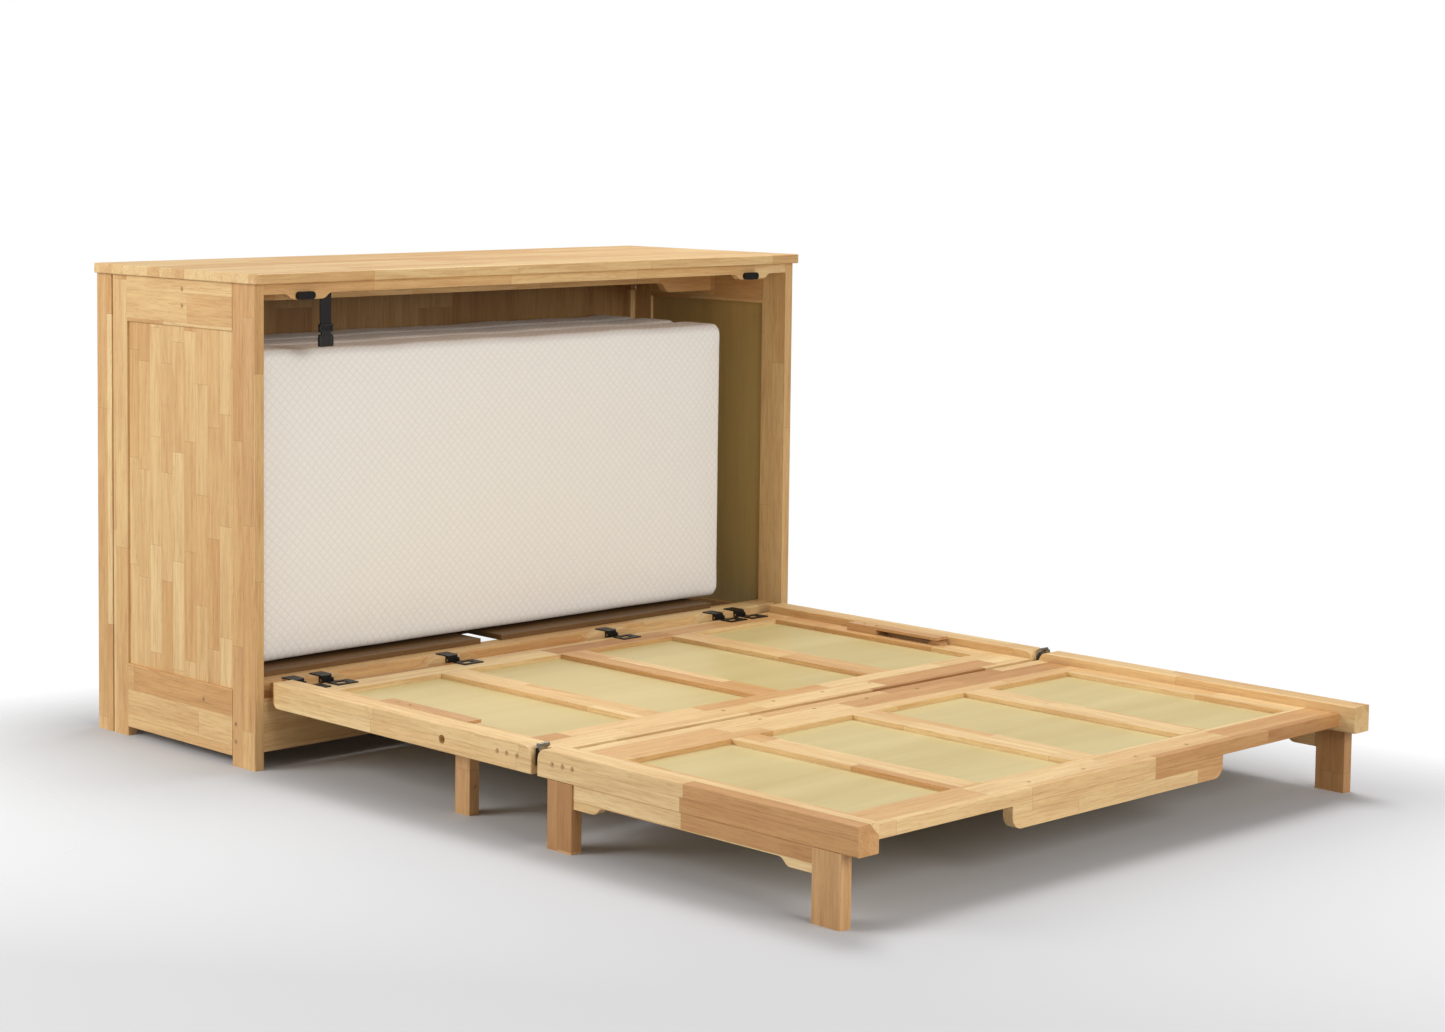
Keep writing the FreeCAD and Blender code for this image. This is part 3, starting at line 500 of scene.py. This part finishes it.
def mattress_layer(node, material):
    """One upright layer of the folded mattress."""
    low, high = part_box(node)
    inset = Vector((SHRINK / 3, SHRINK, SHRINK))
    thing = new_piece(f"{node}_pad", lambda shape: add_box(
        shape, low + inset, high - inset, CUSHION_ROUND, 4), material, "cabinet")
    remesh = thing.modifiers.new("even", "REMESH")
    remesh.mode = "VOXEL"
    remesh.voxel_size = VOXEL
    apply_modifiers(thing)
    inflate(thing)
    thing.data.materials.clear()
    thing.data.materials.append(material)
    floor = low.z + SEAT
    for vertex in thing.data.vertices:
        free = min(1.0, max(0.0, (vertex.co.z - floor) / SLUMP_HIGH))
        across = (vertex.co.x - low.x) / (high.x - low.x)
        ripple = sum(deep * math.sin(across * rate + low.y * shift)
                     for deep, rate, shift in RIPPLES)
        vertex.co.z = max(floor, vertex.co.z - (1 - free) * SLUMP + ripple * free)
    finer = thing.modifiers.new("finer", "SUBSURF")
    finer.levels = 1
    finer.render_levels = 1
    apply_modifiers(thing)
    smooth(thing)
    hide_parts(node)


# ------------------------------------------------------------------ strap and buckle

WEB_STEPS = 24
WEB_TAIL = 0.018                    # how far the webbing runs on behind the buckle
WEB_BOW = 0.0012


def strap():
    """Webbing sewn in a loop at the top, threaded through a side-release buckle half."""
    low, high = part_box("strap_webbing")
    middle = (low + high) / 2
    cloth = webbing_cloth()

    def ribbon(shape):
        thick = (high.y - low.y) / 2
        rows = []
        for i in range(WEB_STEPS + 1):
            t = i / WEB_STEPS
            z = high.z + (low.z - WEB_TAIL - high.z) * t
            rows.append((z, middle.y + WEB_BOW * math.sin(math.pi * t)))
        for side in (-1, 1):
            strip = []
            for z, y in rows:
                strip.append([shape.verts.new((x, y + side * thick, z))
                              for x in (low.x, middle.x, high.x)])
            for a, b in zip(strip, strip[1:]):
                for k in range(2):
                    corners = [a[k], a[k + 1], b[k + 1], b[k]]
                    shape.faces.new(corners if side < 0 else corners[::-1])
        bmesh.ops.holes_fill(shape, edges=shape.edges, sides=0)
        # the folded end, with a row of stitches at each side
        add_box(shape, (low.x + 0.001, low.y - 0.0016, high.z - 0.016),
                (high.x - 0.001, low.y, high.z - 0.001), 0.0005, 2)
        for x in (low.x + 0.005, high.x - 0.005):
            add_box(shape, (x - 0.0004, low.y - 0.0019, high.z - 0.014),
                    (x + 0.0004, low.y - 0.0015, high.z - 0.003), 0.0001, 1)

    webbing = new_piece("strap_webbing_band", ribbon, cloth, "cabinet")
    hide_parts("strap_webbing")
    keep_clear(webbing)

    low_b, high_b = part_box("strap_buckle")

    def buckle(shape):
        cx = (low_b.x + high_b.x) / 2
        front, back = low_b.y, high_b.y
        top, bottom = high_b.z, low_b.z
        wide = (high_b.x - low_b.x) / 2
        lock, slot, waist = wide * 0.94, wide * 0.74, wide * 0.62
        thin = 0.0012                   # all but the socket is thinner, by this on each face
        parts = [
            # ladder lock: two bars across, two rails down
            ((-lock, top - 0.005), (lock, top), 0.0015, thin),
            ((-lock, top - 0.017), (lock, top - 0.012), 0.0015, thin),
            ((-lock, top - 0.017), (-slot, top), 0.0015, thin),
            ((slot, top - 0.017), (lock, top), 0.0015, thin),
            # waist and flared socket
            ((-waist, bottom + 0.020), (waist, top - 0.013), 0.002, thin),
            ((-wide, bottom), (wide, bottom + 0.024), 0.0035, 0.0),
        ]
        for (left, low_z), (right, high_z), bevel, inset in parts:
            add_box(shape, (cx + left, front + inset, low_z), (cx + right, back - inset, high_z),
                    bevel, 3)
        # side springs and the ridge down the middle
        for side in (-1, 1):
            spring = cx + side * wide * 0.72
            add_box(shape, (spring - 0.003, front - 0.0002, bottom + 0.007),
                    (spring + 0.003, back, bottom + 0.026), 0.0012, 2)
        add_box(shape, (cx - 0.006, front - 0.0003, bottom + 0.004),
                (cx + 0.006, front + 0.003, bottom + 0.030), 0.0009, 2)

    plastic = moulded("buckle_plastic", (17, 17, 18), 0.42)
    half = new_piece("strap_buckle_half", buckle, plastic, "cabinet")
    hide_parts("strap_buckle")
    keep_clear(half)


def keep_clear(thing):
    """Give the strap piece a mesh of its own."""
    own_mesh(thing)


# ------------------------------------------------------------------ screw recesses, drawn as dark crosses of painted shade

def islands(mesh):
    """The separate closed shells of a mesh, as lists of vertex positions."""
    shape = bmesh.new()
    shape.from_mesh(mesh)
    bmesh.ops.remove_doubles(shape, verts=shape.verts, dist=1e-6)
    seen = set()
    groups = []
    for vertex in shape.verts:
        if vertex in seen:
            continue
        stack, group = [vertex], []
        seen.add(vertex)
        while stack:
            at = stack.pop()
            group.append(at.co.copy())
            for edge in at.link_edges:
                other = edge.other_vert(at)
                if other not in seen:
                    seen.add(other)
                    stack.append(other)
        groups.append(group)
    shape.free()
    return groups


CROSS_REACH = 0.0020                # from the middle to an arm's end
CROSS_HALF = 0.0004                 # half an arm's width
CROSS_DEEP = 0.0004
CROSS_PROUD = 0.00012               # stands out of the head, so that its dark face, painted shade for the recess, shows


def cross_recess_shades(node, body, material):
    """A dark cross of painted shade set in each screw's head, for the shade in its recess."""
    centre_x = (CAD_BOX[0].x + CAD_BOX[1].x) / 2

    def crosses(shape):
        for group in islands(NODES[node].data):
            low = Vector(map(min, zip(*group)))
            high = Vector(map(max, zip(*group)))
            middle, extent = (low + high) / 2, high - low
            axis = min(range(3), key=lambda i: extent[i])
            side = 1 if axis == 2 or middle.x > centre_x else -1
            face = middle[axis] + side * extent[axis] / 2
            for long_axis in [i for i in range(3) if i != axis]:
                reach = Vector((CROSS_HALF,) * 3)
                reach[long_axis] = CROSS_REACH
                a, b = middle - reach, middle + reach
                a[axis], b[axis] = sorted((face - side * CROSS_DEEP, face + side * CROSS_PROUD))
                add_box(shape, a, b, 0.0001, 1)

    new_piece(f"{node}_recesses", crosses, material, body)


# ------------------------------------------------------------------ build the looks

finish_wood()
finish_hardware()
cover = quilted_cloth()
for layer in ("mattress_front", "mattress_middle", "mattress_back"):
    mattress_layer(layer, cover)
strap()
# A near-black finish for the crosses: painted shade of the screws' recesses.
recess_shade = metal("screw_recess_painted_shade", (30, 26, 20), 0.6, 0.5, 0.6)
for screws, owner in (("cabinet_screws", "cabinet"), ("inner_screws", "inner_section"),
                      ("outer_screws", "outer_section")):
    cross_recess_shades(screws, owner, recess_shade)


# ------------------------------------------------------------------ floor, light and camera

FLOOR_SIZE = 40
HALF_WIDE, HALF_LONG = 0.8, 1.1     # the object's footprint
FADE_REACH = 2.2                    # where the floor is gone, in metres times the fade's rate


def pale_floor():
    """A pale studio floor that fades into the white background behind the object."""
    bpy.ops.mesh.primitive_plane_add(size=FLOOR_SIZE)
    plane = bpy.context.object
    plane.name = "studio_floor"
    g = Graph("studio_floor")
    place = g.position()
    # It is darkest under the object and whitens outward, sooner toward +X and +Y; that sooner
    # whitening is painted light, brightening the floor toward +X and lifting the object's shadow
    # toward +Y.
    aside, ahead = (
        g.math("MAXIMUM", g.math("SUBTRACT", g.math("ABSOLUTE", place[letter]), half), 0.0)
        for letter, half in (("x", HALF_WIDE), ("y", HALF_LONG)))
    reach = g.math("SQRT", g.math("ADD", g.math("MULTIPLY", aside, aside),
                                  g.math("MULTIPLY", ahead, ahead)))
    corner = g.math("ADD", place["x"], g.math("MULTIPLY", place["y"], 0.8))
    sooner_painted_light = g.span(corner, -2.2, 1.0, 0.5, 6.0)
    fade = g.span(g.math("MULTIPLY", reach, sooner_painted_light), 0.0, FADE_REACH, 0.0, 1.0)
    g.set(Base_Color=linear((197, 197, 199)), Roughness=0.75, Specular_IOR_Level=0.25)
    clear = g.tree.nodes.new("ShaderNodeBsdfTransparent")
    blend = g.tree.nodes.new("ShaderNodeMixShader")
    g.feed(blend.inputs[0], fade)
    g.feed(blend.inputs[1], g.shader.outputs[0])
    g.feed(blend.inputs[2], clear.outputs[0])
    g.feed(g.tree.nodes["Material Output"].inputs["Surface"], blend.outputs[0])
    plane.data.materials.append(g.material)


def area_light(name, place, target, size, power):
    """A square soft light that looks at a target."""
    light = bpy.data.lights.new(name, "AREA")
    light.shape = "SQUARE"
    light.size = size
    light.energy = power
    lamp = bpy.data.objects.new(name, light)
    lamp.location = place
    lamp.rotation_euler = (Vector(target) - Vector(place)).to_track_quat("-Z", "Y").to_euler()
    bpy.context.scene.collection.objects.link(lamp)


ROOM_GLOW = 0.36                    # how brightly the room lights the object


def studio():
    """A room that looks white, a soft key overhead, a fill on the left and a light in front."""
    world = bpy.data.worlds.new("white_room")
    bpy.context.scene.world = world
    world.use_nodes = True
    nodes = world.node_tree.nodes
    links = world.node_tree.links
    seen = nodes["Background"]
    seen.inputs[0].default_value = (1.0, 1.0, 1.0, 1.0)
    seen.inputs[1].default_value = 1.0
    lit = nodes.new("ShaderNodeBackground")
    lit.inputs[0].default_value = (1.0, 0.99, 0.97, 1.0)
    lit.inputs[1].default_value = ROOM_GLOW
    path = nodes.new("ShaderNodeLightPath")
    choose = nodes.new("ShaderNodeMixShader")
    links.new(path.outputs["Is Camera Ray"], choose.inputs[0])
    links.new(lit.outputs[0], choose.inputs[1])
    links.new(seen.outputs[0], choose.inputs[2])
    links.new(choose.outputs[0], nodes["World Output"].inputs[0])
    area_light("key", (1.5, 0.7, 4.8), (0.0, -0.4, 0.2), 2.2, 158)
    area_light("fill", (-4.2, 1.9, 2.0), (-0.6, 0.7, 0.5), 2.4, 122)
    area_light("front", (-0.6, -5.0, 2.2), (0.0, 0.6, 0.6), 2.6, 132)


VIEW_TURN = math.radians(41.83)     # how far the view turns from +Y toward +X
VIEW_DROP = math.radians(4.61)
VIEW_ROLL = math.radians(0.372)
VIEW_FROM = (-4.405, -4.236, 1.364)
VIEW_SHIFT = (0.154, -0.1105)
SENSOR = 36.0                       # millimetres, as is the lens
FOCAL = 70.9


def camera():
    """A camera at the photograph's viewing angle."""
    data = bpy.data.cameras.new("camera")
    data.sensor_width = SENSOR
    data.lens = FOCAL
    data.shift_x, data.shift_y = VIEW_SHIFT
    eye = bpy.data.objects.new("camera", data)
    eye.location = VIEW_FROM
    ahead = Vector((math.sin(VIEW_TURN) * math.cos(VIEW_DROP),
                    math.cos(VIEW_TURN) * math.cos(VIEW_DROP), -math.sin(VIEW_DROP)))
    turn = ahead.to_track_quat("-Z", "Y").to_matrix().to_4x4()
    eye.rotation_euler = (turn @ Matrix.Rotation(VIEW_ROLL, 4, "Z")).to_euler()
    bpy.context.scene.collection.objects.link(eye)
    bpy.context.scene.camera = eye


pale_floor()
studio()
camera()
bpy.context.scene.view_settings.view_transform = "Standard"
